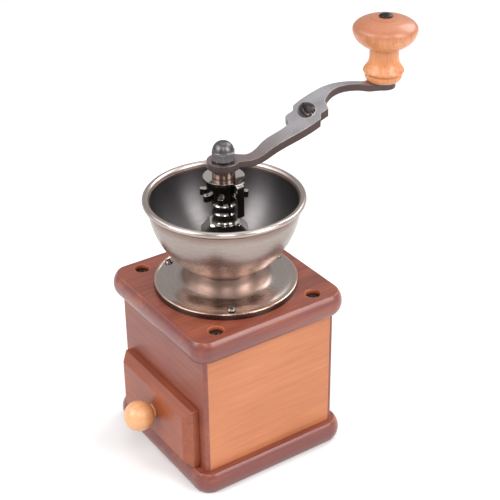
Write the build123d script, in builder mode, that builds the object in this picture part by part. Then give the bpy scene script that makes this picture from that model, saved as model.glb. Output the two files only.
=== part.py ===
from build123d import *

import os
from math import acos, asin, atan2, cos, degrees, radians, sin, tan

# Hand-cranked burr coffee grinder: a wooden box with a drawer below, a spun metal hopper bowl
# above, and a crank that turns a cone burr inside a ring burr.
# Frame: millimetres, origin at the centre of the base board's underside, +Z up the spindle,
# -Y the drawer side.

os.makedirs("parts", exist_ok=True)

# ---------------------------------------------------------------- driving dimensions
# Wooden box
BOARD_WIDTH = 100.0           # base and top board, over the bulging edge
BOARD_THICKNESS = 13.0
BOARD_BULGE = 2.3             # how far the edge bulges past the flat faces
BOARD_CORNER = 8.2            # plan radius of the flat face's corners
BOX_WIDTH = 88.0
BOX_DEPTH = 87.0
BOX_HEIGHT = 76.0
SIDE_THICKNESS = 9.5
END_THICKNESS = 7.0           # front and back boards
END_LIP = 2.4                 # part of an end board that laps over the side panels' ends
BORE_RADIUS = 20.5            # hole in the top board for the burrs
OPENING_HEIGHT = 36.4         # drawer opening, from the base board up
SOFT_EDGE = 0.6               # sanded wooden edges

# Wood screws
CORNER_X = 39.2               # board screws, on the side panels' centre lines
CORNER_Y = 32.2
RECESS_RADIUS = 4.4
RECESS_DEPTH = 4.2
BOARD_SCREW = {"head_radius": 3.8, "head_height": 2.3, "shank_radius": 1.75, "length": 21.0}
FLANGE_SCREW = {"head_radius": 2.5, "head_height": 1.9, "shank_radius": 1.3, "length": 9.0}
BRIDGE_SCREW = {"head_radius": 2.5, "head_height": 1.7, "shank_radius": 1.4, "length": 11.0}
KNOB_SCREW = {"head_radius": 3.4, "head_height": 2.0, "shank_radius": 1.75, "length": 17.5}
HOLE_PLAY = 0.05              # radial room round a fixed screw

# Drawer
DRAWER_WIDTH = 68.0
DRAWER_HEIGHT = 32.5
DRAWER_WALL = 4.5
DRAWER_FLOOR = 3.0
FLOOR_RISE = 2.0              # drawer's floor over the foot of its sides
GROOVE_DEPTH = 2.0            # of the floor's groove in each side
DRAWER_PLAY = 0.4             # over the base board and behind the drawer
FRONT_WIDTH = 74.0
FRONT_HEIGHT = 39.0
FRONT_LIFT = 0.4              # front plate over the base board
FRONT_PLAY = 0.15             # front plate to the box
FRONT_EDGE = 4.0              # straight part of the front plate's thickness
FRONT_BEVEL_DEPTH = 4.5
FRONT_BEVEL_WIDTH = 4.3
BALL_RADIUS = 8.8
BALL_STANDOFF = 9.0           # ball centre in front of the plate
BALL_FOOT = 1.2               # length of the ball's flat-sided foot

# Mounting flange and hopper bowl
FLANGE_RADIUS = 41.0
FLANGE_EDGE_HEIGHT = 3.5
FLANGE_EDGE_ROUND = 0.9
FLARE = [(36.5, 3.75), (30.2, 4.2), (25.2, 5.4), (22.5, 8.0)]   # radius and height above the lid
NECK_RADIUS = 21.2
NECK_WALL = 1.1
NECK_HEIGHT = 14.0            # above the top board
FLANGE_SCREW_CIRCLE = 36.3
FLANGE_SCREW_ANGLES = [-148.5, -28.5, 91.5]
FLANGE_SCREW_SEAT = 3.8       # above the lid
THROAT_RADIUS = 16.2
SHEET = 1.2                   # bowl metal
BOWL_RADIUS = 42.4
BOWL_DEPTH = 45.4             # of the full ellipse, cut off by the flat bottom
BOWL_CENTRE = 39.2            # ellipse centre above the bowl's bottom
LIP_RADIUS = 1.9
LIP_RISE = 0.5                # lip centre above the bowl's widest level
LIP_CIRCLE = 43.3

# Bearing bridge and bush
BRIDGE_ANGLE = 60.0
BRIDGE_WIDTH = 12.0
BRIDGE_HUB_RADIUS = 8.2
BRIDGE_HUB_DROP = 14.6        # hub length below the bridge's top
BRIDGE_HEIGHT = 24.4
BRIDGE_SCREW_CIRCLE = 18.2
FOOT_THICKNESS = 2.6
BUSH_RADIUS = 7.2              # at the foot of each flared band
BUSH_SHANK_RADIUS = 5.4
BUSH_NECK = 15.4              # visible banded length
BUSH_FLARE = 1.1              # how far each band widens downwards
BUSH_BANDS = 3

# Burrs
BURR_HEIGHT = 17.6
BURR_WAIST = 6.0              # height of the fine grinding band
RING_RADIUS = 19.9
RING_WAIST_RADIUS = 13.7
RING_EXIT_RADIUS = 15.3
CONE_TOP_RADIUS = 8.6
CONE_WAIST_RADIUS = 12.8
CONE_EXIT_RADIUS = 14.4
CONE_TEETH = 12
CONE_NOTCH = 2.9              # size of the V-notches between the teeth
RING_TEETH = 20
RING_NOTCH = 1.3

# Spindle group
SPINDLE_RADIUS = 4.0
SPINDLE_FLAT = 3.2            # half the width across the two flats
RUNNING_PLAY = 0.05
REST_GAP = 0.1                # between a turning face and the still face under it
WASHER_THICKNESS = 1.2
THRUST_WASHER_RADIUS = 7.4
BURR_WASHER_RADIUS = 8.0
LOCK_WASHER_RADIUS = 6.3
LOCK_WASHER_THICKNESS = 1.0
BURR_NUT_HEIGHT = 5.5
SPRING_WIRE = 0.7             # wire radius
SPRING_RADIUS = 5.7
SPRING_TURNS = 3
STAR_RADIUS = 13.4
STAR_BODY_RADIUS = 9.8
STAR_HEIGHT = 10.6
STAR_TOOTH_HEIGHT = 3.6
STAR_TOOTH_WIDTH = 3.2
STAR_TEETH = 8
STAR_FIRST_ANGLE = 3.1
CLIP_RADIUS = 11.4
CLIP_THICKNESS = 1.2
CLIP_LEG_RADIUS = 15.0         # outside face of the leg, which hangs outside the star's teeth
CLIP_LEG_WIDTH = 4.6
CLIP_LEG_LENGTH = 19.7
CLIP_LEG_ANGLE = 4.0
COLLAR_RADIUS = 6.4
COLLAR_HEIGHT = 5.7
HUB_RADIUS = 9.1
ARM_THICKNESS = 3.8
NUT_FLATS = 12.3
NUT_HEX_HEIGHT = 5.0
NUT_DOME_RADIUS = 5.9
NUT_HEIGHT = 10.0

# Crank arm, in a frame where X runs out along the arm and Z is up
CRANK_ANGLE = 80.0
CRANK_RADIUS = 96.7
CRANK_RISE = 29.2             # knob end above the hub
BOSS_RADIUS = 7.1
ARM_DIP = (18.3, -1.9)        # low point beside the hub: distance out, height over the hub
ARM_CREST = (72.0, 32.9)      # high point before the knob end
ARM_LEVEL = 86.0              # where the arm turns level for the knob
WING_CENTRE = 49.7
WING_STEPS = [(-9.4, 3.1), (-7.7, 10.7), (-3.7, 9.9), (-1.7, 13.5)]
LEFT_EDGE_NEAR_HUB = [(0, 7.0), (8.4, 4.6), (14.0, 3.3), (27.5, 6.0), (36.5, 3.2)]
LEFT_EDGE_NEAR_KNOB = [(60.1, 10.8), (72.2, 4.8), (84.0, 1.8), (91.0, 4.5), (CRANK_RADIUS, 7.0)]
RIGHT_EDGE_NEAR_KNOB = [(CRANK_RADIUS, -7.0), (91.0, -5.4), (84.0, -4.1), (74.8, -1.8), (66.0, 0.4)]
RIGHT_EDGE_NEAR_HUB = [(38.6, -9.6), (28.8, -5.7), (16.0, -4.9), (8.4, -6.0), (0, -7.0)]
BEAN_OUT = 50.4               # coffee bean emblem on the slope
BEAN_ASIDE = 1.5
BEAN_LENGTH = 15.4            # across the arm
BEAN_WIDTH = 9.8
BEAN_HEIGHT = 3.2
BEAN_GROOVE = 1.4

# Crank knob
KNOB_BASE_RADIUS = 9.1
KNOB_FOOT_RADIUS = 10.3
KNOB_GROOVE_HEIGHT = 4.1      # the fine groove between foot and bead
KNOB_GROOVE_SIZE = 0.5
KNOB_BEAD_RADIUS = 11.4
KNOB_NECK_RADIUS = 8.2
KNOB_CAP_RADIUS = 17.9
KNOB_CAP_CENTRE = 29.2
KNOB_CAP_RISE = 7.1
KNOB_CAP_DROP = 12.0
PIN_RADIUS = 2.5
PIN_HEAD_RADIUS = 3.8
PIN_HEAD_HEIGHT = 1.7
RIVET_HEIGHT = 0.8            # the pin's head under the arm
AXIAL_PLAY = 0.3

# ---------------------------------------------------------------- derived levels
BOX_BOTTOM = BOARD_THICKNESS
BOX_TOP = BOX_BOTTOM + BOX_HEIGHT
LID_TOP = BOX_TOP + BOARD_THICKNESS
BOWL_BOTTOM = LID_TOP + NECK_HEIGHT
BOWL_FLOOR = BOWL_BOTTOM + SHEET
BRIDGE_TOP = BOWL_FLOOR + BRIDGE_HEIGHT
HUB_UNDERSIDE = BRIDGE_TOP - BRIDGE_HUB_DROP
BUSH_TOP = BRIDGE_TOP + BUSH_NECK
BURR_TOP = BOWL_BOTTOM - SHEET
BURR_BOTTOM = BURR_TOP - BURR_HEIGHT
CONE_TOP = BURR_TOP + 1.4
STAR_BOTTOM = BUSH_TOP + REST_GAP
CLIP_BOTTOM = STAR_BOTTOM + STAR_HEIGHT
COLLAR_BOTTOM = CLIP_BOTTOM + CLIP_THICKNESS
HUB_BOTTOM = COLLAR_BOTTOM + COLLAR_HEIGHT
HUB_TOP = HUB_BOTTOM + ARM_THICKNESS
NUT_BOTTOM = HUB_TOP + LOCK_WASHER_THICKNESS
SPINDLE_TOP = NUT_BOTTOM + 6.5
SPINDLE_BOTTOM = BURR_BOTTOM - 9.0

INNER_X = BOX_WIDTH / 2 - SIDE_THICKNESS
PANEL_END = BOX_DEPTH / 2 - END_LIP
INNER_Y = BOX_DEPTH / 2 - END_THICKNESS
PLATE_BACK = -BOX_DEPTH / 2 - FRONT_PLAY
PLATE_FACE = PLATE_BACK - FRONT_EDGE - FRONT_BEVEL_DEPTH
PLATE_BOTTOM = BOX_BOTTOM + FRONT_LIFT
PLATE_MIDDLE = PLATE_BOTTOM + FRONT_HEIGHT / 2
DRAWER_BOTTOM = BOX_BOTTOM + DRAWER_PLAY
DRAWER_END = INNER_Y - DRAWER_PLAY

CORNERS = [(sx * CORNER_X, sy * CORNER_Y) for sx in (-1, 1) for sy in (-1, 1)]
KNOB_X = CRANK_RADIUS * cos(radians(CRANK_ANGLE))
KNOB_Y = CRANK_RADIUS * sin(radians(CRANK_ANGLE))
KNOB_SEAT = HUB_TOP + CRANK_RISE
SPINDLE_AXIS = Axis.Z


def save(piece, name):
    """Label a finished piece and write it as its own STEP file."""
    piece.label = name
    export_step(piece, f"parts/{name}.step")


def polar(radius, angle, height=0.0):
    """Point at a radius and an angle round the spindle."""
    return (radius * cos(radians(angle)), radius * sin(radians(angle)), height)


def ellipse_points(radius, rise, first_angle, last_angle, centre_height, steps=6):
    """Points along an ellipse centred on the spindle line, for a spline to follow."""
    step = (last_angle - first_angle) / steps
    angles = [radians(first_angle + i * step) for i in range(steps + 1)]
    return [(radius * cos(a), centre_height + rise * sin(a)) for a in angles]


# ---------------------------------------------------------------- screws
def make_screw(head_radius, head_height, shank_radius, length):
    """Round-head cross-recess screw, seated on the XY plane and pointing down."""
    tip = 1.6 * shank_radius
    recess = 0.6 * head_height
    rim = 0.3 * head_height
    dome = head_height - rim
    dome_radius = (head_radius**2 + dome**2) / (2 * dome)
    with BuildPart() as screw:
        with BuildSketch(Plane.XZ):
            with BuildLine():
                Line((0, head_height), (0, -length))
                Line((0, -length), (shank_radius, tip - length))
                Line((shank_radius, tip - length), (shank_radius, 0))
                Line((shank_radius, 0), (head_radius, 0))
                Line((head_radius, 0), (head_radius, rim))
                RadiusArc((head_radius, rim), (0, head_height), -dome_radius)
            make_face()
        revolve(axis=Axis.Z)
        with BuildSketch(Plane.XY.offset(head_height)):
            Rectangle(1.15 * head_radius, 0.26 * head_radius)
            Rectangle(0.26 * head_radius, 1.15 * head_radius)
        extrude(amount=-recess, mode=Mode.SUBTRACT)
    return screw.part


def make_screw_group(screw, places):
    """Identical screws, each at its own place."""
    with BuildPart() as group:
        with Locations(*places):
            add(screw)
    return group.part


board_screw = make_screw(**BOARD_SCREW)
flange_screw = make_screw(**FLANGE_SCREW)
bridge_screw = make_screw(**BRIDGE_SCREW)
knob_screw = make_screw(**KNOB_SCREW)

SCREW_PILOT = BOARD_SCREW["shank_radius"] + HOLE_PLAY
TOP_SEAT = LID_TOP - RECESS_DEPTH
BASE_SEAT = RECESS_DEPTH

top_seats = [Location((x, y, TOP_SEAT), (0, 0, 25 + 40 * i)) for i, (x, y) in enumerate(CORNERS)]
base_seats = [Location((x, y, BASE_SEAT), (180, 0, 15 + 35 * i)) for i, (x, y) in enumerate(CORNERS)]
save(make_screw_group(board_screw, top_seats), "top_screws")
save(make_screw_group(board_screw, base_seats), "base_screws")


# ---------------------------------------------------------------- base and top boards
def make_board(bottom):
    """Square board with rounded corners, whose edge bulges out between two crisp lines."""
    flat_width = BOARD_WIDTH - 2 * BOARD_BULGE
    with BuildPart() as board:
        with BuildSketch(Plane.XY.offset(bottom)) as outline:
            RectangleRounded(flat_width, flat_width, BOARD_CORNER)
        extrude(amount=BOARD_THICKNESS)
        rim = outline.sketch.wire()
        outward = (rim % 0).cross(Vector(0, 0, 1))
        with BuildSketch(Plane(origin=rim @ 0, x_dir=outward, z_dir=outward.cross(Vector(0, 0, 1)))):
            with BuildLine():
                ThreePointArc((0, 0), (BOARD_BULGE, BOARD_THICKNESS / 2), (0, BOARD_THICKNESS))
                Line((0, BOARD_THICKNESS), (0, 0))
            make_face()
        sweep(path=rim)
    return board.part


with BuildPart() as base_board:
    add(make_board(0))
    with Locations(*[Location((x, y, 0), (180, 0, 0)) for x, y in CORNERS]):
        CounterBoreHole(
            radius=SCREW_PILOT,
            counter_bore_radius=RECESS_RADIUS,
            counter_bore_depth=RECESS_DEPTH,
        )
save(base_board.part, "base_board")

FLANGE_PILOT = FLANGE_SCREW["shank_radius"] + HOLE_PLAY
flange_screw_spots = [polar(FLANGE_SCREW_CIRCLE, a, LID_TOP) for a in FLANGE_SCREW_ANGLES]

with BuildPart() as top_board:
    add(make_board(BOX_TOP))
    with Locations(*[(x, y, LID_TOP) for x, y in CORNERS]):
        CounterBoreHole(
            radius=SCREW_PILOT,
            counter_bore_radius=RECESS_RADIUS,
            counter_bore_depth=RECESS_DEPTH,
        )
    with Locations((0, 0, LID_TOP)):
        Hole(radius=BORE_RADIUS)
    with Locations(*flange_screw_spots):
        Hole(radius=FLANGE_PILOT, depth=FLANGE_SCREW["length"])
save(top_board.part, "top_board")


# ---------------------------------------------------------------- box panels
def make_side_panel(side):
    """Side panel between the two boards, drilled at both ends for the board screws."""
    drill_depth = BOARD_SCREW["length"] - (BOARD_THICKNESS - RECESS_DEPTH) + 1.0
    with BuildPart() as panel:
        with BuildSketch(Plane.XY.offset(BOX_BOTTOM)):
            with Locations((side * (BOX_WIDTH - SIDE_THICKNESS) / 2, 0)):
                Rectangle(SIDE_THICKNESS, 2 * PANEL_END)
        extrude(amount=BOX_HEIGHT)
        with Locations(*[(side * CORNER_X, sy * CORNER_Y, BOX_TOP) for sy in (-1, 1)]):
            Hole(radius=SCREW_PILOT, depth=drill_depth)
        seats = [Location((side * CORNER_X, sy * CORNER_Y, BOX_BOTTOM), (180, 0, 0)) for sy in (-1, 1)]
        with Locations(*seats):
            Hole(radius=SCREW_PILOT, depth=drill_depth)
    return panel.part


save(make_side_panel(-1), "side_panel_left")
save(make_side_panel(1), "side_panel_right")


def make_end_board(opening_width=0.0, opening_height=0.0):
    """Front or back board, rebated so that a thin lip laps over the side panels' ends.

    It stands on the -Y side, with the outer vertical edges rounded."""
    panel_middle = INNER_X + SIDE_THICKNESS / 2
    box_middle = BOX_BOTTOM + BOX_HEIGHT / 2
    with BuildPart() as board:
        with BuildSketch(Plane.XZ.offset(BOX_DEPTH / 2)):
            with Locations((0, box_middle)):
                Rectangle(BOX_WIDTH, BOX_HEIGHT)
            if opening_height:
                with Locations((0, BOX_BOTTOM + opening_height / 2)):
                    Rectangle(opening_width, opening_height, mode=Mode.SUBTRACT)
        extrude(amount=-END_THICKNESS)
        with BuildSketch(Plane.XZ.offset(PANEL_END)):
            with Locations((-panel_middle, box_middle), (panel_middle, box_middle)):
                Rectangle(SIDE_THICKNESS, BOX_HEIGHT)
        extrude(amount=-END_THICKNESS, mode=Mode.SUBTRACT)
        outer_edges = board.edges().filter_by(Axis.Z).group_by(Axis.Y)[0]
        fillet([outer_edges.sort_by(Axis.X)[0], outer_edges.sort_by(Axis.X)[-1]], radius=1.5)
    return board.part


save(make_end_board(2 * INNER_X, OPENING_HEIGHT), "front_board")

with BuildPart() as back_board:
    with Locations(Location((0, 0, 0), (0, 0, 180))):
        add(make_end_board())
save(back_board.part, "back_board")


# ---------------------------------------------------------------- drawer
with BuildPart() as drawer_front:
    with BuildSketch(Plane.XZ.offset(-PLATE_BACK)):
        with Locations((0, PLATE_MIDDLE)):
            Rectangle(FRONT_WIDTH, FRONT_HEIGHT)
    extrude(amount=FRONT_EDGE)
    with BuildSketch(Plane.XZ.offset(FRONT_EDGE - PLATE_BACK)):
        with Locations((0, PLATE_MIDDLE)):
            Rectangle(FRONT_WIDTH, FRONT_HEIGHT)
    with BuildSketch(Plane.XZ.offset(-PLATE_FACE)):
        with Locations((0, PLATE_MIDDLE)):
            Rectangle(FRONT_WIDTH - 2 * FRONT_BEVEL_WIDTH, FRONT_HEIGHT - 2 * FRONT_BEVEL_WIDTH)
    loft()
    fillet(drawer_front.edges().filter_by(lambda e: e.center().Y < PLATE_BACK - 0.1), radius=0.45)
    with Locations(Location((0, PLATE_FACE, PLATE_MIDDLE), (90, 0, 0))):
        Hole(radius=KNOB_SCREW["shank_radius"] + HOLE_PLAY)
save(drawer_front.part, "drawer_front")

DRAWER_LENGTH = DRAWER_END - PLATE_BACK
FLOOR_BOTTOM = DRAWER_BOTTOM + FLOOR_RISE


def make_drawer_side(side):
    """Drawer side standing behind the front plate, with a groove for the drawer's bottom."""
    middle_x = side * (DRAWER_WIDTH - DRAWER_WALL) / 2
    groove_x = side * (DRAWER_WIDTH / 2 - DRAWER_WALL + GROOVE_DEPTH / 2)
    with BuildPart() as wall:
        with BuildSketch(Plane.XZ.offset(-PLATE_BACK)):
            with Locations((middle_x, DRAWER_BOTTOM + DRAWER_HEIGHT / 2)):
                Rectangle(DRAWER_WALL, DRAWER_HEIGHT)
            with Locations((groove_x, FLOOR_BOTTOM + DRAWER_FLOOR / 2)):
                Rectangle(GROOVE_DEPTH, DRAWER_FLOOR, mode=Mode.SUBTRACT)
        extrude(amount=-DRAWER_LENGTH)
        fillet(wall.edges().filter_by(Axis.Y).group_by(Axis.Z)[-1], radius=SOFT_EDGE)
    return wall.part


save(make_drawer_side(-1), "drawer_side_left")
save(make_drawer_side(1), "drawer_side_right")

drawer_clear_width = DRAWER_WIDTH - 2 * DRAWER_WALL
drawer_back_height = DRAWER_HEIGHT - FLOOR_RISE - DRAWER_FLOOR

with BuildPart() as drawer_back:
    with BuildSketch(Plane.XZ.offset(-DRAWER_END)):
        with Locations((0, FLOOR_BOTTOM + DRAWER_FLOOR + drawer_back_height / 2)):
            Rectangle(drawer_clear_width, drawer_back_height)
    extrude(amount=DRAWER_WALL)
    fillet(drawer_back.edges().filter_by(Axis.X).group_by(Axis.Z)[-1], radius=SOFT_EDGE)
save(drawer_back.part, "drawer_back")

with BuildPart() as drawer_bottom:
    with BuildSketch(Plane.XY.offset(FLOOR_BOTTOM)):
        with Locations((0, (PLATE_BACK + DRAWER_END) / 2)):
            Rectangle(drawer_clear_width + 2 * GROOVE_DEPTH, DRAWER_LENGTH)
    extrude(amount=DRAWER_FLOOR)
save(drawer_bottom.part, "drawer_bottom")

ball_centre = PLATE_FACE - BALL_STANDOFF
ball_foot_end = PLATE_FACE - BALL_FOOT
foot_radius = (BALL_RADIUS**2 - (BALL_STANDOFF - BALL_FOOT) ** 2) ** 0.5
ball_hole_depth = KNOB_SCREW["length"] - FRONT_EDGE - FRONT_BEVEL_DEPTH + 0.9

with BuildPart() as drawer_knob:
    with BuildSketch(Plane.YZ):
        with BuildLine():
            Polyline(
                (ball_centre - BALL_RADIUS, PLATE_MIDDLE),
                (PLATE_FACE, PLATE_MIDDLE),
                (PLATE_FACE, PLATE_MIDDLE + foot_radius),
                (ball_foot_end, PLATE_MIDDLE + foot_radius),
            )
            ThreePointArc(
                (ball_foot_end, PLATE_MIDDLE + foot_radius),
                (ball_centre, PLATE_MIDDLE + BALL_RADIUS),
                (ball_centre - BALL_RADIUS, PLATE_MIDDLE),
            )
        make_face()
    revolve(axis=Axis((0, 0, PLATE_MIDDLE), (0, 1, 0)))
    with Locations(Location((0, PLATE_FACE, PLATE_MIDDLE), (-90, 0, 0))):
        Hole(radius=KNOB_SCREW["shank_radius"] + HOLE_PLAY, depth=ball_hole_depth)
save(drawer_knob.part, "drawer_knob")

knob_screw_seat = Location((0, PLATE_BACK, PLATE_MIDDLE), (-90, 0, 0))
save(make_screw_group(knob_screw, [knob_screw_seat]), "drawer_knob_screw")


# ---------------------------------------------------------------- mounting flange
flange_edge_top = LID_TOP + FLANGE_EDGE_HEIGHT
neck_inner = NECK_RADIUS - NECK_WALL
flange_screw_seat = LID_TOP + FLANGE_SCREW_SEAT
flange_screw_clearance = 3.0     # cut away over the seats
flare_points = [(radius, LID_TOP + height) for radius, height in FLARE]
neck_top = (NECK_RADIUS, BOWL_BOTTOM - 1.4)
rim_side = (FLANGE_RADIUS, flange_edge_top - FLANGE_EDGE_ROUND)
rim_crest = (FLANGE_RADIUS - 0.7 * FLANGE_EDGE_ROUND, flange_edge_top)
rim_inside = (FLANGE_RADIUS - 2 * FLANGE_EDGE_ROUND, flange_edge_top - 0.25)

with BuildPart() as mounting_flange:
    with BuildSketch(Plane.XZ):
        with BuildLine():
            Polyline((neck_inner, LID_TOP), (FLANGE_RADIUS, LID_TOP), rim_side)
            ThreePointArc(rim_side, rim_crest, rim_inside)
            Spline(rim_inside, *flare_points, neck_top, tangents=[(-1, 0), (0, 1)])
            Polyline(
                neck_top,
                (NECK_RADIUS - 1.0, BOWL_BOTTOM - 0.4),
                (NECK_RADIUS - 1.0, BOWL_BOTTOM),
                (THROAT_RADIUS, BOWL_BOTTOM),
                (THROAT_RADIUS, BURR_TOP),
                (neck_inner, BURR_TOP),
                (neck_inner, LID_TOP),
            )
        make_face()
    revolve(axis=SPINDLE_AXIS)
    seat_top = flange_screw_seat + flange_screw_clearance
    seat_tops = [polar(FLANGE_SCREW_CIRCLE, a, seat_top) for a in FLANGE_SCREW_ANGLES]
    with Locations(*seat_tops):
        CounterBoreHole(
            radius=FLANGE_PILOT,
            counter_bore_radius=FLANGE_SCREW["head_radius"] + HOLE_PLAY,
            counter_bore_depth=flange_screw_clearance,
        )
    with Locations(*[polar(BRIDGE_SCREW_CIRCLE, BRIDGE_ANGLE + t, BOWL_BOTTOM) for t in (0, 180)]):
        Hole(radius=BRIDGE_SCREW["shank_radius"] + HOLE_PLAY, depth=2 * SHEET)
save(mounting_flange.part, "mounting_flange")

flange_screw_seats = [
    Location(polar(FLANGE_SCREW_CIRCLE, a, flange_screw_seat), (0, 0, a + 30 * i))
    for i, a in enumerate(FLANGE_SCREW_ANGLES)
]
save(make_screw_group(flange_screw, flange_screw_seats), "flange_screws")


# ---------------------------------------------------------------- hopper bowl
bowl_equator = BOWL_BOTTOM + BOWL_CENTRE
outer_sweep = degrees(asin(BOWL_CENTRE / BOWL_DEPTH))
inner_sweep = degrees(asin((BOWL_CENTRE - SHEET) / (BOWL_DEPTH - SHEET)))
bridge_screw_spots = [polar(BRIDGE_SCREW_CIRCLE, BRIDGE_ANGLE + t, BOWL_FLOOR) for t in (0, 180)]

with BuildPart() as hopper_bowl:
    with BuildSketch(Plane.XZ):
        with BuildLine():
            outside = Spline(*ellipse_points(BOWL_RADIUS, BOWL_DEPTH, -outer_sweep, 0, bowl_equator))
            inside = Spline(
                *ellipse_points(BOWL_RADIUS - SHEET, BOWL_DEPTH - SHEET, -inner_sweep, 0, bowl_equator)
            )
            Polyline(
                outside @ 0,
                (THROAT_RADIUS, BOWL_BOTTOM),
                (THROAT_RADIUS, BOWL_FLOOR),
                inside @ 0,
            )
            Line(outside @ 1, inside @ 1)
        make_face()
        with Locations((LIP_CIRCLE, bowl_equator + LIP_RISE)):
            Circle(LIP_RADIUS)
    revolve(axis=SPINDLE_AXIS)
    with Locations(*bridge_screw_spots):
        Hole(radius=BRIDGE_SCREW["shank_radius"] + HOLE_PLAY, depth=2 * SHEET)
save(hopper_bowl.part, "hopper_bowl")


# ---------------------------------------------------------------- bearing bridge and bush
bridge_plane = Plane(
    origin=(0, 0, 0),
    x_dir=polar(1, BRIDGE_ANGLE),
    z_dir=polar(1, BRIDGE_ANGLE - 90),
)
foot_top = BOWL_FLOOR + FOOT_THICKNESS
shoulder = (13.0, BRIDGE_TOP - 5.8)

with BuildPart() as bearing_bridge:
    with BuildSketch(bridge_plane):
        with BuildLine():
            Polyline(
                (0, BRIDGE_TOP),
                (BRIDGE_HUB_RADIUS, BRIDGE_TOP),
                shoulder,
                (15.4, foot_top),
                (20.2, foot_top),
                (20.2, BOWL_FLOOR),
                (12.4, BOWL_FLOOR),
                (12.4, foot_top),
                (10.4, HUB_UNDERSIDE + 5.0),
                (0, HUB_UNDERSIDE + 5.0),
                close=True,
            )
        make_face()
        mirror(about=Plane.YZ)
    extrude(amount=BRIDGE_WIDTH / 2, both=True)
    chamfer(bearing_bridge.faces().filter_by(bridge_plane).edges(), length=0.9)
    with BuildSketch(Plane.XY.offset(HUB_UNDERSIDE)):
        Circle(BRIDGE_HUB_RADIUS)
    extrude(amount=BRIDGE_HUB_DROP)
    with Locations((0, 0, BRIDGE_TOP)):
        Hole(radius=BUSH_SHANK_RADIUS)
    with Locations(*bridge_screw_spots):
        Cylinder(
            BRIDGE_SCREW["shank_radius"] + HOLE_PLAY,
            3 * FOOT_THICKNESS,
            mode=Mode.SUBTRACT,
        )
save(bearing_bridge.part, "bearing_bridge")

bridge_screw_seats = [
    Location(polar(BRIDGE_SCREW_CIRCLE, BRIDGE_ANGLE + t, foot_top), (0, 0, 20 + t / 4))
    for t in (0, 180)
]
save(make_screw_group(bridge_screw, bridge_screw_seats), "bridge_screws")

band_height = BUSH_NECK / BUSH_BANDS
band_top_radius = BUSH_RADIUS - BUSH_FLARE

with BuildPart() as bearing_bush:
    with BuildSketch(Plane.XZ):
        with BuildLine():
            Polyline(
                (BUSH_RADIUS, BRIDGE_TOP),
                (BUSH_SHANK_RADIUS, BRIDGE_TOP),
                (BUSH_SHANK_RADIUS, HUB_UNDERSIDE),
                (SPINDLE_RADIUS + RUNNING_PLAY, HUB_UNDERSIDE),
                (SPINDLE_RADIUS + RUNNING_PLAY, BUSH_TOP),
                (band_top_radius, BUSH_TOP),
            )
            for band in range(BUSH_BANDS):
                foot = BRIDGE_TOP + band * band_height
                top = foot + band_height
                lip = foot + 0.16 * band_height
                Line((BUSH_RADIUS, foot), (BUSH_RADIUS, lip))
                ThreePointArc(
                    (BUSH_RADIUS, lip),
                    (BUSH_RADIUS - 0.72 * BUSH_FLARE, foot + 0.5 * band_height),
                    (band_top_radius, top),
                )
                if band < BUSH_BANDS - 1:
                    Line((band_top_radius, top), (BUSH_RADIUS, top))
        make_face()
    revolve(axis=SPINDLE_AXIS)
save(bearing_bush.part, "bearing_bush")


# ---------------------------------------------------------------- burrs
waist = BURR_BOTTOM + BURR_WAIST

with BuildPart() as ring_burr:
    with BuildSketch(Plane.XZ):
        with BuildLine():
            Polyline(
                (RING_RADIUS, BURR_TOP),
                (THROAT_RADIUS, BURR_TOP),
                (RING_WAIST_RADIUS, waist),
                (RING_EXIT_RADIUS, BURR_BOTTOM),
                (RING_RADIUS, BURR_BOTTOM),
                close=True,
            )
        make_face()
    revolve(axis=SPINDLE_AXIS)
    with BuildSketch(Plane.XY.offset(BURR_BOTTOM)):
        with PolarLocations(RING_EXIT_RADIUS + 0.45 * RING_NOTCH, RING_TEETH):
            RegularPolygon(radius=RING_NOTCH, side_count=3)
    extrude(amount=BURR_HEIGHT, mode=Mode.SUBTRACT)
    with Locations(*[polar(BRIDGE_SCREW_CIRCLE, BRIDGE_ANGLE + t, BURR_TOP) for t in (0, 180)]):
        Hole(radius=BRIDGE_SCREW["shank_radius"] + HOLE_PLAY, depth=BRIDGE_SCREW["length"])
save(ring_burr.part, "ring_burr")

with BuildPart() as cone_burr:
    with BuildSketch(Plane.XZ):
        with BuildLine():
            Polyline(
                (0, CONE_TOP),
                (CONE_TOP_RADIUS, CONE_TOP),
                (CONE_WAIST_RADIUS, waist),
                (CONE_EXIT_RADIUS, BURR_BOTTOM),
                (0, BURR_BOTTOM),
                close=True,
            )
        make_face()
    revolve(axis=SPINDLE_AXIS)
    with BuildSketch(Plane.XY.offset(BURR_BOTTOM)):
        with PolarLocations(CONE_EXIT_RADIUS, CONE_TEETH):
            RegularPolygon(radius=CONE_NOTCH, side_count=3, rotation=180)
    extrude(amount=CONE_TOP - BURR_BOTTOM, mode=Mode.SUBTRACT)
    with Locations((0, 0, CONE_TOP)):
        Hole(radius=SPINDLE_RADIUS)
save(cone_burr.part, "cone_burr")


# ---------------------------------------------------------------- washers, nuts and spring
def make_washer(bottom, radius, thickness, bore):
    """Flat washer with softened outer edges."""
    with BuildPart() as washer:
        with BuildSketch(Plane.XY.offset(bottom)):
            Circle(radius)
            Circle(bore, mode=Mode.SUBTRACT)
        extrude(amount=thickness)
        rims = washer.edges().filter_by(GeomType.CIRCLE).sort_by(SortBy.RADIUS)[-2:]
        fillet(rims, radius=0.2 * thickness)
    return washer.part


THRUST_BOTTOM = CONE_TOP + REST_GAP
SPRING_BOTTOM = THRUST_BOTTOM + WASHER_THICKNESS
NUT_WASHER_BOTTOM = BURR_BOTTOM - WASHER_THICKNESS

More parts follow.
